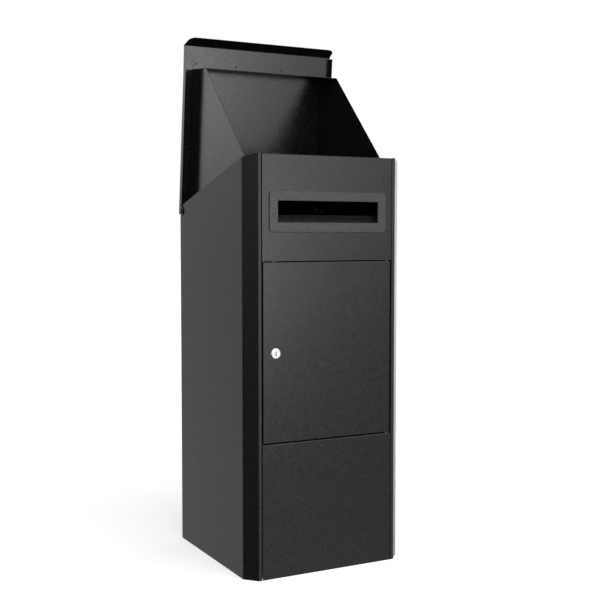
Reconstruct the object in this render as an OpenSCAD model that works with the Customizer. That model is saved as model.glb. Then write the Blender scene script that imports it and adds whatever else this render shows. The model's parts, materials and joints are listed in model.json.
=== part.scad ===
// Free-standing parcel and letter drop box in folded sheet steel.
// +X is to the right of someone facing the front, the front faces -Y and +Z is up.
// The origin is on the ground, at the centre of the floor bolt pattern.
// The lid stands open, as it does while a parcel is put into the hopper.

/* [Cabinet] */
// Width over the side panels
body_w = 426; // [400:1:460]
// Depth from the front face to the rear face
body_d = 422; // [400:1:460]
// Height of the front
front_h = 1000; // [960:1:1100]
// Fall of the top towards the rear, in degrees
top_slope = 15; // [12:1:16]
// Width of the bevel at each front corner
corner_w = 27; // [20:1:32]
// Depth of the bevel at each front corner
corner_d = 31; // [20:1:34]
// Thickness of the sheet steel
sheet = 1.2; // [1:0.1:1.5]

/* [Front] */
// Width of the strip that each side panel turns onto the front
front_return = 9.3; // [7:0.1:12]
// Height of the door's lower edge
door_low = 323.5; // [300:0.5:360]
// Height of the door
door_h = 425; // [380:1:430]
// Gap round the door
door_gap = 2.2; // [1.8:0.1:2.6]
// Depth of the folded edges of the door and the front panels
fold = 15; // [12:1:16]
// Width of the letter slot
slot_w = 273; // [220:1:280]
// Height of the letter slot
slot_h = 52; // [35:1:54]
// Height of the slot's middle
slot_z = 866; // [850:0.5:875]
// Width of the slot's raised frame
bezel_w = 22; // [12:0.5:24]
// How far the slot's frame stands proud
bezel_proud = 2.6; // [1.5:0.1:4]

/* [Lid and hopper] */
// Lean of the open lid towards the front, in degrees
lid_lean = 6; // [2:1:10]
// Depth of the lid's side edges
lid_edge = 16.5; // [14:0.5:17]
// Length of the flared lip that serves as the grip
lip_len = 37; // [30:1:44]
// Radius of the lip's corners
lip_round = 19; // [8:1:24]
// Distance from a side panel's outer face to the hopper's cheek
cheek_inset = 23; // [20:1:30]

/* [Lock] */
// Distance of the lock from the middle of the door
lock_x = -141.5; // [-145:0.5:-140]
// Height of the lock
lock_z = 535; // [500:1:560]
// Radius of the lock's face
lock_r = 13; // [11:0.5:14]
// Length of the cam from the lock's axis
cam_len = 34; // [31:0.5:35]

/* [Base] */
// Distance between the floor bolts across the width
bolt_x = 300; // [260:1:320]
// Distance between the floor bolts from front to rear
bolt_y = 300; // [260:1:320]
// Radius of the floor bolt holes
bolt_r = 5.5; // [4.5:0.5:6.5]

/* [Hidden] */
half_w = body_w / 2;
half_d = body_d / 2;
front_y = -half_d;
fit = 0.2;
powder_black = "#202123";
zinc = "#c3c6c9";
nylon = "#555557";
rubber = "#595959";

// The top edge of the side panels falls in a straight line from the front.
function top_z(y) = front_h - (y - front_y) * tan(top_slope);

// Folds and gaps that several sheets share.
spare = 20;
rear_flange = 18;
stop_gap = 2;
stop_len = 13;
rear_fold = 12;

// The lid turns on two bolts, a little inside the rear top corner.
pivot_y = half_d - 14.3;
pivot_drop = 16;
pivot_z = top_z(pivot_y) - pivot_drop;
plate_out = 17;
plate_tail = 9;
pivot_r = 4;
ear_r = 11;
plate_len = (pivot_y + plate_out * sin(top_slope) - front_y - 0.4) / cos(top_slope);
lip_rise = 30;
lip_taper = 3;
side_play = 1.2;
lid_half_w = half_w + side_play + sheet;
rear_top = pivot_z + 5;
corner_y = pivot_y + 6.3;

// The hopper's outline beside the upright lid: y is outwards, z is up the lid.
cheek_x = half_w - cheek_inset;
hopper_w = 2 * (cheek_x - sheet - 0.1);
ceiling_rear = [plate_out - fit, 366];
ceiling_front = [-74, 367];
chute_front = [-343.5, 142.5];
chute_rear = [plate_out - fit, 9];
// How far the cheeks reach below the chute, and between which distances from the chute's foot
// their lower edge slants down to that.
cheek_drop = 16;
slant_start = 20;
slant_end = 29;
cheek_flange = 18;
cheek_flange_low = 40;
cheek_flange_high = 335;
ceiling_flange = 28;
chute_flange = 22;
chute_fold = 12;
rivet_z = 382;
rivet_x = [-180, -67, 67, 180];

// The door and its two pins.
jamb_x = half_w - corner_w - front_return;
door_half_w = jamb_x - door_gap + 0.2;
door_top = door_low + door_h;
panel_half_w = jamb_x - 0.8;
pin_x = door_half_w - 9.5;
pin_y = front_y + 5.5;
pin_r = 2.5;
bush_r = 4.1;
bush_len = 7;
bush_flange = 1;

// The lock's parts, counted back from the door's face.
barrel_r = 9.5;
barrel_len = 20;
plug_r = 6;
key_w = 2.4;
key_h = 8.5;
cam_thick = 2;
cam_half_w = 8;

shelf_z = 316;
base_thick = 2;
tray_wall = 25;
tray_side = half_w - sheet - fit;
tray_rear = half_d - 2 * (sheet + fit);
tray_front = front_y + fold + 5;
guard_half_w = 150;
sill = slot_z - slot_h / 2 - 3;
guard_rivet_x = [-110, 110];
guard_rivet_z = sill - 13;
guard_foot = 26;
guard_rise = 22;
bracket_w = 22;
bracket_drop = 25;
bracket_len = 300;

$fn = 48;

// Outline of a folded sheet: the path is one face, and t sets off the other face,
// to the left of the path's direction when t is positive.
function unit(v) = v / norm(v);
function left_of(v) = [-v[1], v[0]];
function heading(p, i) = left_of(unit(p[i + 1] - p[i]));
function other_face(p, i, t) =
    i == 0 ? p[0] + t * heading(p, 0) :
    i == len(p) - 1 ? p[i] + t * heading(p, i - 1) :
    p[i] + t * (heading(p, i - 1) + heading(p, i)) / (1 + heading(p, i - 1) * heading(p, i));

module folded(p, t) {
    last = len(p) - 1;
    polygon(concat(p, [for (i = [last:-1:0]) other_face(p, i, t)]));
}

// A profile drawn in Y and Z, drawn out across the middle of the width.
module across(w) {
    translate([-w / 2, 0, 0])
        rotate([90, 0, 90])
            linear_extrude(height = w)
                children();
}

module upright(x, y, low, high, r) {
    translate([x, y, low])
        cylinder(h = high - low, r = r);
}

// A cylinder along +X from x, at y and z.
module shaft_x(x, y, z, len, r) {
    translate([x, y, z])
        rotate([0, 90, 0])
            cylinder(h = len, r = r);
}

// A cylinder along +Y from y, at x and z.
module shaft_y(x, y, z, len, r) {
    translate([x, y, z])
        rotate([-90, 0, 0])
            cylinder(h = len, r = r);
}

module hexagon(len, across_flats) {
    cylinder(h = len, r = across_flats / sqrt(3), $fn = 6);
}

module both_sides() {
    children();
    mirror([1, 0, 0])
        children();
}

module on_lid() {
    translate([0, pivot_y, pivot_z])
        rotate([lid_lean, 0, 0])
            children();
}

// ---- Cabinet ----

// Everything above the sloping top edge, with the rear corner that the lid turns over.
module above_top() {
    across(body_w + spare)
        polygon([
            [front_y - spare, top_z(front_y - spare)],
            [corner_y, top_z(corner_y)],
            [half_d, rear_top],
            [half_d + spare, rear_top],
            [half_d + spare, front_h + 2 * spare],
            [front_y - spare, front_h + 2 * spare]
        ]);
}

// One side panel, with its rear flange, bevelled corner, front strip and jamb.
module side_sheet(with_stop) {
    stop_y = front_y + fold + stop_gap;
    shell = [
        [-half_w + rear_flange, half_d],
        [-half_w, half_d],
        [-half_w, front_y + corner_d],
        [-half_w + corner_w, front_y],
        [-jamb_x, front_y],
        [-jamb_x, stop_y]
    ];
    path = with_stop ? concat(shell, [[-jamb_x + stop_len, stop_y]]) : shell;
    difference() {
        linear_extrude(height = front_h + spare)
            folded(path, sheet);
        above_top();
        shaft_x(-half_w - 5, pivot_y, pivot_z, 20, pivot_r + 0.1);
    }
}

module left_side_panel() {
    color(powder_black)
        side_sheet(true);
}

module right_side_panel() {
    color(powder_black)
        mirror([1, 0, 0])
            side_sheet(false);
}

module rear_panel() {
    face_y = half_d - sheet - fit;
    color(powder_black)
        difference() {
            across(2 * tray_side)
                folded([[face_y - rear_fold, rear_top], [face_y, rear_top], [face_y, 0]], -sheet);
            both_sides()
                shaft_x(half_w - 20, pivot_y, pivot_z, 25, 9);
        }
}

// A plate that fits between the side panels, with its front corners cut off, set in by d.
module inside_plate(d) {
    side = tray_side - d;
    front = tray_front + d;
    rear = tray_rear - d;
    polygon([
        [-side, rear], [-side, front + corner_d], [-side + corner_w, front],
        [side - corner_w, front], [side, front + corner_d], [side, rear]
    ]);
}

module base_tray() {
    color(powder_black)
        difference() {
            linear_extrude(height = tray_wall)
                inside_plate(0);
            translate([0, 0, base_thick])
                linear_extrude(height = tray_wall)
                    inside_plate(sheet);
            for (x = [-bolt_x / 2, bolt_x / 2])
                for (y = [-bolt_y / 2, bolt_y / 2])
                    upright(x, y, -1, base_thick + 1, bolt_r);
        }
}

module compartment_floor() {
    color(powder_black)
        difference() {
            translate([0, 0, shelf_z - fold])
                linear_extrude(height = fold)
                    inside_plate(0);
            translate([0, 0, shelf_z - fold - sheet])
                linear_extrude(height = fold)
                    inside_plate(sheet);
        }
}

// An angle under each end of the compartment's floor.
module floor_bracket() {
    top = shelf_z - fold - fit;
    wall = half_w - sheet - fit;
    color(powder_black)
        translate([0, bracket_len / 2, 0])
            rotate([90, 0, 0])
                linear_extrude(height = bracket_len)
                    folded([[-wall + bracket_w, top], [-wall, top], [-wall, top - bracket_drop]], sheet);
}

module left_floor_bracket() {
    floor_bracket();
}

module right_floor_bracket() {
    mirror([1, 0, 0])
        floor_bracket();
}

// ---- Front ----

module upper_front_panel() {
    low = door_top + door_gap;
    top_in = [front_y + fold * cos(top_slope), front_h - fold * sin(top_slope)];
    color(powder_black)
        difference() {
            across(2 * panel_half_w)
                folded([top_in, [front_y, front_h], [front_y, low], [front_y + fold, low]], sheet);
            translate([-slot_w / 2, front_y - 5, slot_z - slot_h / 2])
                cube([slot_w, 10, slot_h]);
            for (x = guard_rivet_x)
                shaft_y(x, front_y - 5, guard_rivet_z, 20, 2.1);
            upright(pin_x, pin_y, low - 5, low + 5, bush_r + 0.1);
        }
}

module lower_front_panel() {
    high = door_low - door_gap;
    color(powder_black)
        difference() {
            across(2 * panel_half_w)
                folded([[front_y + fold, high], [front_y, high], [front_y, 0]], sheet);
            upright(pin_x, pin_y, high - 5, high + 5, bush_r + 0.1);
        }
}

// The letter slot's frame, with a lip that lines the slot's edge.
module slot_bezel() {
    frame_w = slot_w + 2 * bezel_w;
    frame_h = slot_h + 2 * bezel_w;
    lip = 0.6;
    color(powder_black)
        difference() {
            union() {
                translate([-frame_w / 2, front_y - bezel_proud, slot_z - frame_h / 2])
                    cube([frame_w, bezel_proud - 0.02, frame_h]);
                translate([-slot_w / 2 + 0.1, front_y - 1, slot_z - slot_h / 2 + 0.1])
                    cube([slot_w - 0.2, 1 + sheet, slot_h - 0.2]);
            }
            translate([-slot_w / 2 + lip, front_y - 10, slot_z - slot_h / 2 + lip])
                cube([slot_w - 2 * lip, 20, slot_h - 2 * lip]);
        }
}

// A ramp behind the slot, which keeps fingers out of the letters.
module letter_guard() {
    back = front_y + sheet + 0.05;
    color(powder_black)
        difference() {
            across(2 * guard_half_w)
                folded([
                    [back, sill - guard_foot], [back, sill],
                    [back + 19, sill + guard_rise], [back + 25, sill + guard_rise]
                ], -sheet);
            for (x = guard_rivet_x)
                shaft_y(x, front_y - 5, guard_rivet_z, 20, 2.1);
        }
}

// Flush rivets through the front panel and the guard; the slot's frame hides their outer ends.
module guard_rivets() {
    back = front_y + 2 * sheet + 0.1;
    color(zinc)
        for (x = guard_rivet_x) {
            shaft_y(x, front_y, guard_rivet_z, 2 * sheet + 1.5, 2);
            shaft_y(x, back, guard_rivet_z, 1.4, 4);
        }
}

// A small buffer that fills the gap over the door's free end.
module door_bumper() {
    low = door_top + 0.4;
    high = door_top + door_gap - 0.02;
    color(rubber)
        translate([-150, front_y + 0.6, low])
            cube([11, 8, high - low]);
}

// Buffers under the closed lid, on the front panel's top fold.
module lid_bumpers() {
    color(rubber)
        both_sides()
            translate([140, front_y, front_h])
                rotate([-top_slope, 0, 0])
                    translate([0, fold / 2, 0.02])
                        cylinder(h = 1, r = 5);
}

// ---- Lid pivots, fixed to the cabinet ----

// Round-headed shoulder bolts, put in from outside and painted with the box.
module pivot_bolts() {
    under_head = lid_half_w + fit;
    color(powder_black)
        both_sides()
            translate([0, pivot_y, pivot_z])
                rotate([0, 90, 0])
                    rotate_extrude()
                        polygon([
                            [0, half_w - 12], [pivot_r - 0.5, half_w - 12], [pivot_r, half_w - 11.5],
                            [pivot_r, under_head], [7, under_head], [7, under_head + 0.8],
                            [6.2, under_head + 1.7], [4.4, under_head + 2.4], [0, under_head + 2.7]
                        ]);
}

// Friction washers between each side panel and the lid's ear.
module pivot_washers() {
    color(nylon)
        both_sides()
            difference() {
                shaft_x(half_w + 0.02, pivot_y, pivot_z, side_play - 0.2, 8.5);
                shaft_x(half_w - 1, pivot_y, pivot_z, side_play + 2, pivot_r + 0.1);
            }
}

// Hexagon nuts on the bolts, inside the side panels and painted with the box.
module pivot_nuts() {
    nut_len = 6.5;
    color(powder_black)
        both_sides()
            difference() {
                translate([half_w - sheet - nut_len - 0.1, pivot_y, pivot_z])
                    rotate([0, 90, 0])
                        hexagon(nut_len, 13);
                shaft_x(half_w - 20, pivot_y, pivot_z, 30, pivot_r + 0.05);
            }
}

// ---- Hinge bushes for the door's pins ----

// A bush that stands up through a fold at z = 0, with its flange in the gap below.
module hinge_bush() {
    color(nylon)
        difference() {
            union() {
                translate([0, 0, -bush_flange])
                    cylinder(h = bush_len + bush_flange, r = bush_r);
                translate([0, 0, -bush_flange])
                    cylinder(h = bush_flange - 0.02, r = bush_r + 1.1);
            }
            translate([0, 0, -5])
                cylinder(h = bush_len + 10, r = pin_r + 0.06);
        }
}

module upper_hinge_bush() {
    translate([pin_x, pin_y, door_top + door_gap])
        hinge_bush();
}

module lower_hinge_bush() {
    translate([pin_x, pin_y, door_low - door_gap])
        mirror([0, 0, 1])
            hinge_bush();
}

// ---- Lid and hopper ----

// The lip laid flat, from just below its fold to its rounded free corners.
module lip_outline() {
    x = lid_half_w - lip_taper - lip_round;
    y = lip_len - lip_round;
    corner = [for (a = [0:10:90]) [x + lip_round * cos(a), y + lip_round * sin(a)]];
    half = concat([[lid_half_w, -2 * sheet], [lid_half_w, 0]], corner);
    polygon(concat(half, [for (i = [len(half) - 1:-1:0]) [-half[i][0], half[i][1]]]));
}

// The lid's plate with its side edges, the ears for the pivots and the flared lip.
module lid_shell() {
    edge_top = plate_len - 3;
    edge_y = plate_out - lid_edge;
    tip = [plate_out - lip_len * cos(lip_rise), plate_len + lip_len * sin(lip_rise)];
    color(powder_black)
        on_lid()
            difference() {
                union() {
                    intersection() {
                        across(2 * lid_half_w)
                            folded([
                                [plate_out, -plate_tail], [plate_out, plate_len], tip
                            ], -sheet);
                        union() {
                            translate([-lid_half_w, 0, -plate_tail])
                                cube([2 * lid_half_w, 2 * plate_out, plate_len + plate_tail]);
                            translate([0, plate_out, plate_len])
                                rotate([180 - lip_rise, 0, 0])
                                    translate([0, 0, -spare])
                                        linear_extrude(height = 2 * spare)
                                            lip_outline();
                        }
                    }
                    both_sides() {
                        translate([lid_half_w - sheet, edge_y, -plate_tail])
                            cube([sheet, lid_edge + sheet, edge_top + plate_tail]);
                        shaft_x(lid_half_w - sheet, 0, 0, sheet, ear_r);
                        translate([lid_half_w - sheet, 0, -plate_tail])
                            cube([sheet, plate_out + sheet, plate_tail + ear_r]);
                    }
                }
                both_sides()
                    shaft_x(lid_half_w - 5, 0, 0, 10, pivot_r + 1.5);
            }
}

// Plain bushes in the lid's ears.
module lid_pivot_bushes() {
    color(nylon)
        on_lid()
            both_sides()
                difference() {
                    shaft_x(lid_half_w - sheet, 0, 0, sheet, pivot_r + 1.48);
                    shaft_x(lid_half_w - 5, 0, 0, 10, pivot_r + 0.06);
                }
}

// The hopper's ceiling, with a riveted flange that runs up the lid.
module hopper_ceiling() {
    flange_top = ceiling_rear[1] + ceiling_flange;
    color(powder_black)
        on_lid()
            difference() {
                across(hopper_w)
                    folded([[ceiling_rear[0], flange_top], ceiling_rear, ceiling_front], -sheet);
                for (x = rivet_x)
                    shaft_y(x, 0, rivet_z, 30, 1.7);
            }
}

// A point on the chute's underside, d in front of its foot.
function chute_point(d) =
    chute_rear + (chute_front - chute_rear) * d / (chute_rear[0] - chute_front[0]);

// A cheek of the hopper, with a flange along the lid's plate and a skirt below the chute.
module cheek() {
    color(powder_black)
        on_lid() {
            translate([-cheek_x, 0, 0])
                rotate([90, 0, 90])
                    linear_extrude(height = sheet)
                        polygon([
                            chute_rear, [chute_rear[0], ceiling_rear[1]], ceiling_front, chute_front,
                            chute_front - [0, cheek_drop],
                            chute_point(slant_end) - [0, cheek_drop], chute_point(slant_start)
                        ]);
            translate([-cheek_x, plate_out - fit - sheet, cheek_flange_low])
                cube([cheek_flange, sheet, cheek_flange_high - cheek_flange_low]);
        }
}

module left_cheek() {
    cheek();
}

module right_cheek() {
    mirror([1, 0, 0])
        cheek();
}

// The chute that the parcel rests on, and slides down once the lid is closed.
module hopper_floor() {
    color(powder_black)
        on_lid()
            across(hopper_w)
                folded([
                    [chute_front[0] + 2, chute_front[1] - chute_fold], [chute_front[0] + 2, chute_front[1]],
                    chute_rear, [chute_rear[0], chute_rear[1] + chute_flange]
                ], sheet);
}

// Painted rivets with low domed heads, through the ceiling's flange.
module hopper_rivets() {
    face = plate_out - fit - sheet;
    color(powder_black)
        on_lid()
            for (x = rivet_x)
                translate([x, face, rivet_z])
                    rotate([-90, 0, 0])
                        rotate_extrude()
                            polygon([
                                [0, -1.1], [1.4, -0.95], [2.5, -0.45], [2.8, 0],
                                [1.6, 0], [1.6, sheet + fit], [0, sheet + fit]
                            ]);
}

// ---- Door and lock ----

module door_panel() {
    inner_w = 2 * (door_half_w - sheet);
    inner_h = door_h - 2 * sheet;
    color(powder_black)
        difference() {
            translate([-door_half_w, front_y, door_low])
                cube([2 * door_half_w, fold, door_h]);
            translate([-inner_w / 2, front_y + sheet, door_low + sheet])
                cube([inner_w, fold, inner_h]);
            shaft_y(lock_x, front_y - 5, lock_z, 20, barrel_r + 0.1);
            upright(pin_x, pin_y, door_low - 5, door_top + 5, pin_r + 0.1);
        }
}

// A hat section up the middle of the door's back.
module door_stiffener() {
    back = front_y + sheet + 0.05;
    low = door_low + sheet + 0.5;
    color(powder_black)
        translate([0, 0, low])
            linear_extrude(height = door_h - 2 * sheet - 1)
                folded([
                    [-45, back], [-30, back], [-22, back + 11], [22, back + 11], [30, back], [45, back]
                ], sheet);
}

// Short pins welded through the door's top and bottom folds.
module door_pins() {
    stub = bush_len;
    color(zinc) {
        upright(pin_x, pin_y, door_top - sheet - 8, door_top + door_gap + stub, pin_r);
        upright(pin_x, pin_y, door_low - door_gap - stub, door_low + sheet + 8, pin_r);
    }
}

module lock_housing() {
    color(zinc)
        difference() {
            translate([lock_x, front_y, lock_z])
                rotate([-90, 0, 0])
                    rotate_extrude()
                        polygon([
                            [plug_r + 0.06, -2.2], [lock_r - 2.4, -2.2], [lock_r - 0.8, -1.5],
                            [lock_r, -0.4], [lock_r, -0.02], [barrel_r, -0.02],
                            [barrel_r, barrel_len], [plug_r + 0.06, barrel_len]
                        ]);
            translate([lock_x - lock_r - 1, front_y - 4, lock_z - 0.9])
                cube([3, 3.9, 1.8]);
        }
}

module lock_nut() {
    color(zinc)
        difference() {
            translate([lock_x, front_y + sheet + 0.05, lock_z])
                rotate([-90, 0, 0])
                    hexagon(5, 25);
            shaft_y(lock_x, front_y, lock_z, 20, barrel_r + 0.05);
        }
}

module lock_plug() {
    color(zinc)
        difference() {
            shaft_y(lock_x, front_y - 2.4, lock_z, barrel_len + 2.6, plug_r);
            translate([lock_x - key_w / 2, front_y - 4, lock_z - key_h / 2])
                cube([key_w, 14, key_h]);
            shaft_y(lock_x, front_y + 12, lock_z, 20, 2);
        }
}

// The cam hangs down while the door is unlocked, and turns behind the left jamb.
module lock_cam() {
    y = front_y + barrel_len + 0.22;
    color(zinc)
        difference() {
            union() {
                shaft_y(lock_x, y, lock_z, cam_thick, cam_half_w);
                translate([lock_x - cam_half_w, y, lock_z - cam_len])
                    cube([2 * cam_half_w, cam_thick, cam_len]);
            }
            shaft_y(lock_x, y - 1, lock_z, 10, 2.2);
        }
}

module cam_screw() {
    y = front_y + barrel_len + 0.22 + cam_thick;
    color(zinc)
        difference() {
            union() {
                shaft_y(lock_x, front_y + 13, lock_z, y - front_y - 13 + 0.5, 1.95);
                shaft_y(lock_x, y + 0.02, lock_z, 2.4, 4.2);
            }
            translate([lock_x - 4, y + 1.4, lock_z - 0.5])
                cube([8, 3, 1]);
        }
}

left_side_panel();
right_side_panel();
rear_panel();
base_tray();
compartment_floor();
left_floor_bracket();
right_floor_bracket();
upper_front_panel();
lower_front_panel();
slot_bezel();
letter_guard();
guard_rivets();
door_bumper();
lid_bumpers();
pivot_bolts();
pivot_washers();
pivot_nuts();
upper_hinge_bush();
lower_hinge_bush();
lid_shell();
lid_pivot_bushes();
hopper_ceiling();
left_cheek();
right_cheek();
hopper_floor();
hopper_rivets();
door_panel();
door_stiffener();
door_pins();
lock_housing();
lock_nut();
lock_plug();
lock_cam();
cam_screw();
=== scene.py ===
"""Looks of the parcel drop box: folded sheets with real bends, hardware, finishes and a studio."""

import json
import math

import bmesh
import bpy
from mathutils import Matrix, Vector


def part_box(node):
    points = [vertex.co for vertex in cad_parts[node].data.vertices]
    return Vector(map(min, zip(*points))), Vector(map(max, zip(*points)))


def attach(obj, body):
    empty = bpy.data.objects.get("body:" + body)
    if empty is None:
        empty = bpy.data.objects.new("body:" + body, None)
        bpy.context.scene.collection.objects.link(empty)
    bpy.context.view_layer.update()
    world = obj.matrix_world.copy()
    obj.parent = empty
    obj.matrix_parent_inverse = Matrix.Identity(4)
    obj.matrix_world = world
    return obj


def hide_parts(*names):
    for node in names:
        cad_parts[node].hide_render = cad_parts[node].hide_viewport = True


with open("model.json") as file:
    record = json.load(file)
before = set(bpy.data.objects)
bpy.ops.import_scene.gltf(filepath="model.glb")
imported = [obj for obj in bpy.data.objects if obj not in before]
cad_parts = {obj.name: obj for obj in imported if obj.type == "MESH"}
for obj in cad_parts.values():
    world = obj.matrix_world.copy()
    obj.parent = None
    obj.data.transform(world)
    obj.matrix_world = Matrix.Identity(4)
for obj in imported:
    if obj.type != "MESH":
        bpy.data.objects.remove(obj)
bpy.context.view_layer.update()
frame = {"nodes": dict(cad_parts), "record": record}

# ---- Sizes, in metres ----

SHEET = 0.0012
FOLD_RADIUS = 0.0024       # outside radius of a bend in the sheet
FOLD_STEPS = 5
CUT_RADIUS = 0.00022       # a sheet's cut edges and the small parts' edges
CUT_STEPS = 2
BEZEL_CORNER = 0.0095
BEZEL_RIM = 0.0011
BEZEL_RIM_STEPS = 3
THIN_FACE = 2.2 * SHEET    # a face narrower than this is a cut edge of the sheet
WELD_DISTANCE = 0.000004
FLAT_ANGLE = math.radians(0.4)
SHARP_ANGLE = math.radians(30)
MOSTLY_ALONG = 0.9         # a unit vector's share along an axis, above which it counts as along it

# The camera, placed in the object's frame: its angles in degrees, its lens and sensor in millimetres.
CAMERA_PLACE = (-1.22707, -2.39595, 0.80845)
CAMERA_YAW = 27.75
CAMERA_DROP = 3.47
CAMERA_LENS = 62.97
CAMERA_SENSOR = 36.0

BODY_OF = {n: b for b, names in frame["record"]["behaviour"]["bodies"].items() for n in names}
SLOT_OF = {row["node"]: row["material_slot"] for row in frame["record"]["subparts"]}


# ---- Materials ----

def new_material(name, **values):
    """A material with one Principled shader whose constant sockets are set from values."""
    material = bpy.data.materials.new(name)
    material.use_nodes = True
    tree = material.node_tree
    tree.nodes.clear()
    shader = tree.nodes.new("ShaderNodeBsdfPrincipled")
    output = tree.nodes.new("ShaderNodeOutputMaterial")
    tree.links.new(shader.outputs["BSDF"], output.inputs["Surface"])
    for socket, value in values.items():
        shader.inputs[socket.replace("_", " ")].default_value = value
    return material, tree, shader


def noise(tree, size, detail=2.0, roughness=0.5):
    """Noise in the object's own space whose grains are about size metres across."""
    place = tree.nodes.new("ShaderNodeTexCoord")
    node = tree.nodes.new("ShaderNodeTexNoise")
    node.inputs["Scale"].default_value = 1.0 / size
    node.inputs["Detail"].default_value = detail
    node.inputs["Roughness"].default_value = roughness
    tree.links.new(place.outputs["Object"], node.inputs["Vector"])
    return node.outputs["Fac"]


def spread(tree, source, low, high, start=0.3, end=0.7):
    """Source between start and end, mapped to low and high."""
    node = tree.nodes.new("ShaderNodeMapRange")
    node.inputs["From Min"].default_value = start
    node.inputs["From Max"].default_value = end
    node.inputs["To Min"].default_value = low
    node.inputs["To Max"].default_value = high
    tree.links.new(source, node.inputs["Value"])
    return node.outputs["Result"]


def two_tone(tree, source, dark, light, start=0.35, end=0.65):
    """A colour ramp between two colours."""
    node = tree.nodes.new("ShaderNodeValToRGB")
    ramp = node.color_ramp.elements
    ramp[0].position = start
    ramp[0].color = (*dark, 1.0)
    ramp[1].position = end
    ramp[1].color = (*light, 1.0)
    tree.links.new(source, node.inputs["Fac"])
    return node.outputs["Color"]


def bump(tree, source, depth, under=None):
    """A bump of depth metres, on top of another bump if one is given."""
    node = tree.nodes.new("ShaderNodeBump")
    node.inputs["Strength"].default_value = 1.0
    node.inputs["Distance"].default_value = depth
    tree.links.new(source, node.inputs["Height"])
    if under is not None:
        tree.links.new(under, node.inputs["Normal"])
    return node.outputs["Normal"]


def powder_coat(name, low, high):
    """Satin black powder coat: flecks of tone and a fine grain over a faint orange peel."""
    material, tree, shader = new_material(name, IOR=1.5)
    flecks = noise(tree, 0.0055, detail=4.0, roughness=0.65)
    tone = two_tone(tree, flecks, (0.0030, 0.0030, 0.0031), (0.0185, 0.0186, 0.0188))
    gloss = spread(tree, noise(tree, 0.012, detail=4.0), low, high)
    peel = bump(tree, noise(tree, 0.0036), 0.00005)
    grain = bump(tree, noise(tree, 0.0009), 0.000016, under=peel)
    tree.links.new(tone, shader.inputs["Base Color"])
    tree.links.new(gloss, shader.inputs["Roughness"])
    tree.links.new(grain, shader.inputs["Normal"])
    return material


def textured_frame():
    """A coarser powder coat on the slot's frame: matt, a little paler and finely wrinkled."""
    material, tree, shader = new_material("textured_frame", IOR=1.5)
    tone = two_tone(tree, noise(tree, 0.0028, detail=3.0), (0.032, 0.032, 0.032), (0.076, 0.076, 0.077))
    gloss = spread(tree, noise(tree, 0.004, detail=3.0), 0.28, 0.38)
    wrinkle = bump(tree, noise(tree, 0.0026, detail=3.0), 0.00022)
    tree.links.new(tone, shader.inputs["Base Color"])
    tree.links.new(gloss, shader.inputs["Roughness"])
    tree.links.new(wrinkle, shader.inputs["Normal"])
    return material


def plated(name, colour, low, high, grain):
    """Plated metal with a mottled gloss."""
    material, tree, shader = new_material(name, Metallic=1.0)
    darker = tuple(0.82 * c for c in colour)
    tone = two_tone(tree, noise(tree, 0.004, detail=3.0), darker, colour)
    tree.links.new(tone, shader.inputs["Base Color"])
    tree.links.new(spread(tree, noise(tree, grain, detail=3.0), low, high), shader.inputs["Roughness"])
    tree.links.new(bump(tree, noise(tree, grain / 2), 0.000008), shader.inputs["Normal"])
    return material


def moulded(name, dark, light, low, high, depth):
    """Moulded plastic or rubber with a faint grain."""
    material, tree, shader = new_material(name, IOR=1.48)
    tree.links.new(two_tone(tree, noise(tree, 0.003, detail=3.0), dark, light), shader.inputs["Base Color"])
    tree.links.new(spread(tree, noise(tree, 0.002), low, high), shader.inputs["Roughness"])
    tree.links.new(bump(tree, noise(tree, 0.0006), depth), shader.inputs["Normal"])
    return material


def pale_floor():
    """A matt white floor with a glow of its own."""
    material, tree, shader = new_material("studio_floor", IOR=1.4, Roughness=0.8, Emission_Strength=0.62)
    tone = two_tone(tree, noise(tree, 0.9), (0.80, 0.80, 0.80), (0.82, 0.82, 0.82))
    tree.links.new(tone, shader.inputs["Base Color"])
    shader.inputs["Emission Color"].default_value = (1.0, 1.0, 1.0, 1.0)
    return material


MATERIALS = {
    "powder_coat": powder_coat("powder_coat", 0.17, 0.23),
    "matt_powder_coat": powder_coat("matt_powder_coat", 0.32, 0.38),
    "textured_frame": textured_frame(),
    "zinc": plated("zinc", (0.66, 0.67, 0.68), 0.26, 0.42, 0.003),
    "lock_metal": plated("lock_metal", (0.76, 0.76, 0.75), 0.24, 0.36, 0.002),
    "nylon": moulded("nylon", (0.080, 0.080, 0.082), (0.100, 0.100, 0.103), 0.40, 0.52, 0.00001),
    "rubber": moulded("rubber", (0.090, 0.090, 0.090), (0.120, 0.120, 0.120), 0.65, 0.85, 0.00003),
}


# ---- Pieces made from the CAD nodes ----

# The side panels' coat is a little more matt than that of the other sheets.
FINISH_OF = dict(SLOT_OF, left_side_panel="matt_powder_coat", right_side_panel="matt_powder_coat")


def joined_mesh(node):
    """A CAD node's mesh with its vertices joined and each flat face whole."""
    mesh = bmesh.new()
    mesh.from_mesh(frame["nodes"][node].data)
    bmesh.ops.remove_doubles(mesh, verts=mesh.verts, dist=WELD_DISTANCE)
    bmesh.ops.dissolve_limit(mesh, angle_limit=FLAT_ANGLE, verts=mesh.verts, edges=mesh.edges)
    return mesh


def mean_width(face):
    """How wide a long face is."""
    return 2.0 * face.calc_area() / face.calc_perimeter()


def fold_reach(edge):
    """How far a bend's round reaches from its edge, or 0 where two sheet faces don't meet."""
    if len(edge.link_faces) != 2 or min(mean_width(f) for f in edge.link_faces) < THIN_FACE:
        return 0.0
    turn = edge.calc_face_angle_signed()
    if abs(turn) < SHARP_ANGLE:
        return 0.0
    radius = FOLD_RADIUS if turn > 0 else FOLD_RADIUS - SHEET
    return radius * math.tan(abs(turn) / 2)


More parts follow.
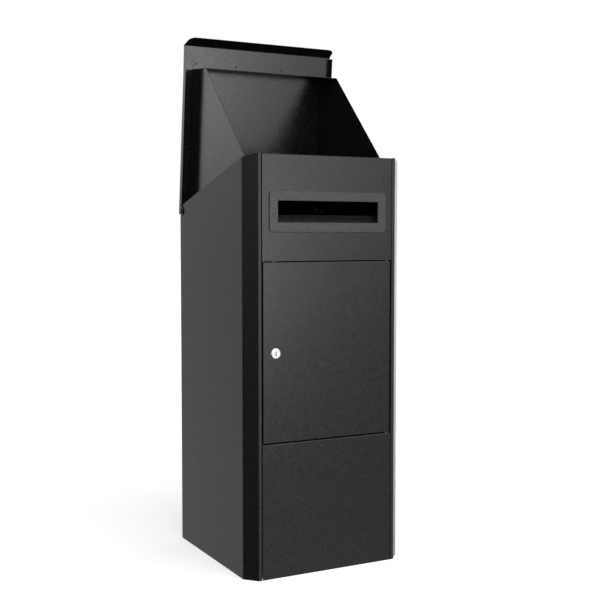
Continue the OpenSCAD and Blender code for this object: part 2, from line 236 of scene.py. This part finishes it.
def bezel_reach(edge):
    """The slot frame's outer corners are rounder than its rim."""
    if edge.calc_face_angle_signed() < SHARP_ANGLE:
        return 0.0
    run = edge.verts[1].co - edge.verts[0].co
    middle = (edge.verts[1].co + edge.verts[0].co) / 2
    low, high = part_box("slot_bezel")
    outer = min(middle.x - low.x, high.x - middle.x) < WELD_DISTANCE
    return BEZEL_CORNER if outer and abs(run.normalized().y) > MOSTLY_ALONG else 0.0


def no_reach(edge):
    """For pieces without bends."""
    return 0.0


def add_bevel(piece, name, width, segments, method):
    """A bevel on the weighted edges (WEIGHT) or on all sharp ones (ANGLE)."""
    bevel = piece.modifiers.new(name, "BEVEL")
    bevel.width = width
    bevel.segments = segments
    bevel.limit_method = method
    bevel.use_clamp_overlap = False
    bevel.miter_outer = "MITER_SHARP"
    if method == "ANGLE":
        bevel.angle_limit = SHARP_ANGLE
    return bevel


def link_object(name, data):
    piece = bpy.data.objects.new(name, data)
    bpy.context.scene.collection.objects.link(piece)
    return piece


def bevelled(name, data, widest, rim, steps):
    """The mesh of data with its bends and rims bevelled. The mesh of data itself is used up."""
    draft = link_object(name + "_draft", data)
    if widest > 0:
        add_bevel(draft, "bends", widest, FOLD_STEPS, "WEIGHT")
    add_bevel(draft, "rims", rim, steps, "ANGLE")
    shape = draft.evaluated_get(bpy.context.evaluated_depsgraph_get())
    baked = bpy.data.meshes.new_from_object(shape)
    baked.name = name
    bpy.data.objects.remove(draft)
    bpy.data.meshes.remove(data)
    return baked


def cleaned(data):
    """Joins the points that a bevel left in the same place, with the empty faces between them."""
    mesh = bmesh.new()
    mesh.from_mesh(data)
    bmesh.ops.remove_doubles(mesh, verts=mesh.verts, dist=WELD_DISTANCE)
    bmesh.ops.dissolve_degenerate(mesh, edges=mesh.edges, dist=WELD_DISTANCE)
    for face in mesh.faces:
        face.smooth = True
    mesh.to_mesh(data)
    mesh.free()


def shade_by_size(data):
    """Turns each point's normal towards its largest faces, so that big faces stay flat."""
    totals = [Vector() for point in data.vertices]
    for face in data.polygons:
        for corner in face.vertices:
            totals[corner] += face.normal * face.area**2
    data.normals_split_custom_set_from_vertices([total.normalized() for total in totals])


def finished(node, reach=no_reach, rim=CUT_RADIUS, steps=CUT_STEPS):
    """A piece that stands for a CAD node, with its bends and edges rounded."""
    mesh = joined_mesh(node)
    reaches = [reach(edge) for edge in mesh.edges]
    widest = max(reaches)
    if widest > 0:
        weights = mesh.edges.layers.float.new("bevel_weight_edge")
        for edge, size in zip(mesh.edges, reaches):
            edge[weights] = size / widest
    data = bpy.data.meshes.new(node + "_folded")
    mesh.to_mesh(data)
    mesh.free()
    baked = bevelled(node + "_finished", data, widest, rim, steps)
    cleaned(baked)
    shade_by_size(baked)
    piece = link_object(node + "_finished", baked)
    piece.data.materials.append(MATERIALS[FINISH_OF[node]])
    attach(piece, BODY_OF[node])
    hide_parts(node)
    return piece


SHEETS = [n for n in frame["nodes"] if SLOT_OF[n] == "powder_coat"]
SMALL_PARTS = [n for n in frame["nodes"] if SLOT_OF[n] not in ("powder_coat", "textured_frame")]

for name in SHEETS:
    finished(name, reach=fold_reach)
finished("slot_bezel", reach=bezel_reach, rim=BEZEL_RIM, steps=BEZEL_RIM_STEPS)
for name in SMALL_PARTS:
    finished(name)


# ---- Studio ----

FLOOR_WIDTH = 60.0

# Soft glows in the room round the object: azimuth from the front towards the right and elevation,
# both in degrees, then how tight the glow is and how bright its middle is.
ROOM_LEVEL = 0.012
ROOM_GLOWS = (
    (10.0, 40.0, 5.0, 2.9),
    (0.0, 80.0, 3.0, 0.2),
    (24.0, 5.2, 120.0, 2.3),
    (17.5, -2.5, 300.0, 12.0),
    (28.0, -26.0, 40.0, 0.6),
    (15.0, -42.0, 10.0, 0.4),
    (-67.0, 15.0, 80.0, 2.0),
    (-157.0, -12.0, 6.0, 0.76),
    (-157.0, 10.0, 150.0, 1.3),
    (118.0, 0.0, 20.0, 4.0),
)


def stage_floor():
    """A wide pale floor that the object stands on. It glows, so that it fades into the backdrop."""
    half = FLOOR_WIDTH / 2
    data = bpy.data.meshes.new("studio_floor")
    corners = [(-half, -half, 0), (half, -half, 0), (half, half, 0), (-half, half, 0)]
    data.from_pydata(corners, [], [(0, 1, 2, 3)])
    floor = bpy.data.objects.new("studio_floor", data)
    bpy.context.scene.collection.objects.link(floor)
    data.materials.append(pale_floor())
    floor.visible_glossy = False
    floor.visible_diffuse = False


def math_node(tree, operation, first, second, third=0.0):
    """A Math node whose inputs are sockets or plain numbers."""
    node = tree.nodes.new("ShaderNodeMath")
    node.operation = operation
    for socket, value in zip(node.inputs, (first, second, third)):
        if isinstance(value, bpy.types.NodeSocket):
            tree.links.new(value, socket)
        else:
            socket.default_value = value
    return node.outputs["Value"]


def glow(tree, direction, azimuth, elevation, tightness, brightness):
    """How bright one glow is in a direction of the room."""
    turn = math.radians(azimuth)
    rise = math.radians(elevation)
    dot = tree.nodes.new("ShaderNodeVectorMath")
    dot.operation = "DOT_PRODUCT"
    dot.inputs[1].default_value = (
        math.sin(turn) * math.cos(rise),
        -math.cos(turn) * math.cos(rise),
        math.sin(rise),
    )
    tree.links.new(direction, dot.inputs[0])
    power = math_node(tree, "MULTIPLY_ADD", dot.outputs["Value"], tightness, -tightness)
    return math_node(tree, "MULTIPLY", math_node(tree, "EXPONENT", power, 0.0), brightness)


def studio_world():
    """White behind the object, and a softly lit room that the object reflects."""
    world = bpy.data.worlds.new("studio")
    bpy.context.scene.world = world
    world.use_nodes = True
    tree = world.node_tree
    tree.nodes.clear()
    output = tree.nodes.new("ShaderNodeOutputWorld")
    mix = tree.nodes.new("ShaderNodeMixShader")
    path = tree.nodes.new("ShaderNodeLightPath")
    place = tree.nodes.new("ShaderNodeTexCoord")
    room = tree.nodes.new("ShaderNodeBackground")
    backdrop = tree.nodes.new("ShaderNodeBackground")
    level = ROOM_LEVEL
    for row in ROOM_GLOWS:
        level = math_node(tree, "ADD", glow(tree, place.outputs["Generated"], *row), level)
    tree.links.new(level, room.inputs["Strength"])
    backdrop.inputs["Color"].default_value = (1.0, 1.0, 1.0, 1.0)
    tree.links.new(path.outputs["Is Camera Ray"], mix.inputs["Fac"])
    tree.links.new(room.outputs["Background"], mix.inputs[1])
    tree.links.new(backdrop.outputs["Background"], mix.inputs[2])
    tree.links.new(mix.outputs["Shader"], output.inputs["Surface"])


def add_camera():
    """The camera at the fitted place, looking a little down."""
    data = bpy.data.cameras.new("camera")
    data.lens = CAMERA_LENS
    data.sensor_width = CAMERA_SENSOR
    camera = bpy.data.objects.new("camera", data)
    camera.location = CAMERA_PLACE
    camera.rotation_euler = (math.radians(90.0 - CAMERA_DROP), 0.0, math.radians(-CAMERA_YAW))
    bpy.context.scene.collection.objects.link(camera)
    bpy.context.scene.camera = camera


stage_floor()
studio_world()
add_camera()
bpy.context.scene.view_settings.view_transform = "Standard"
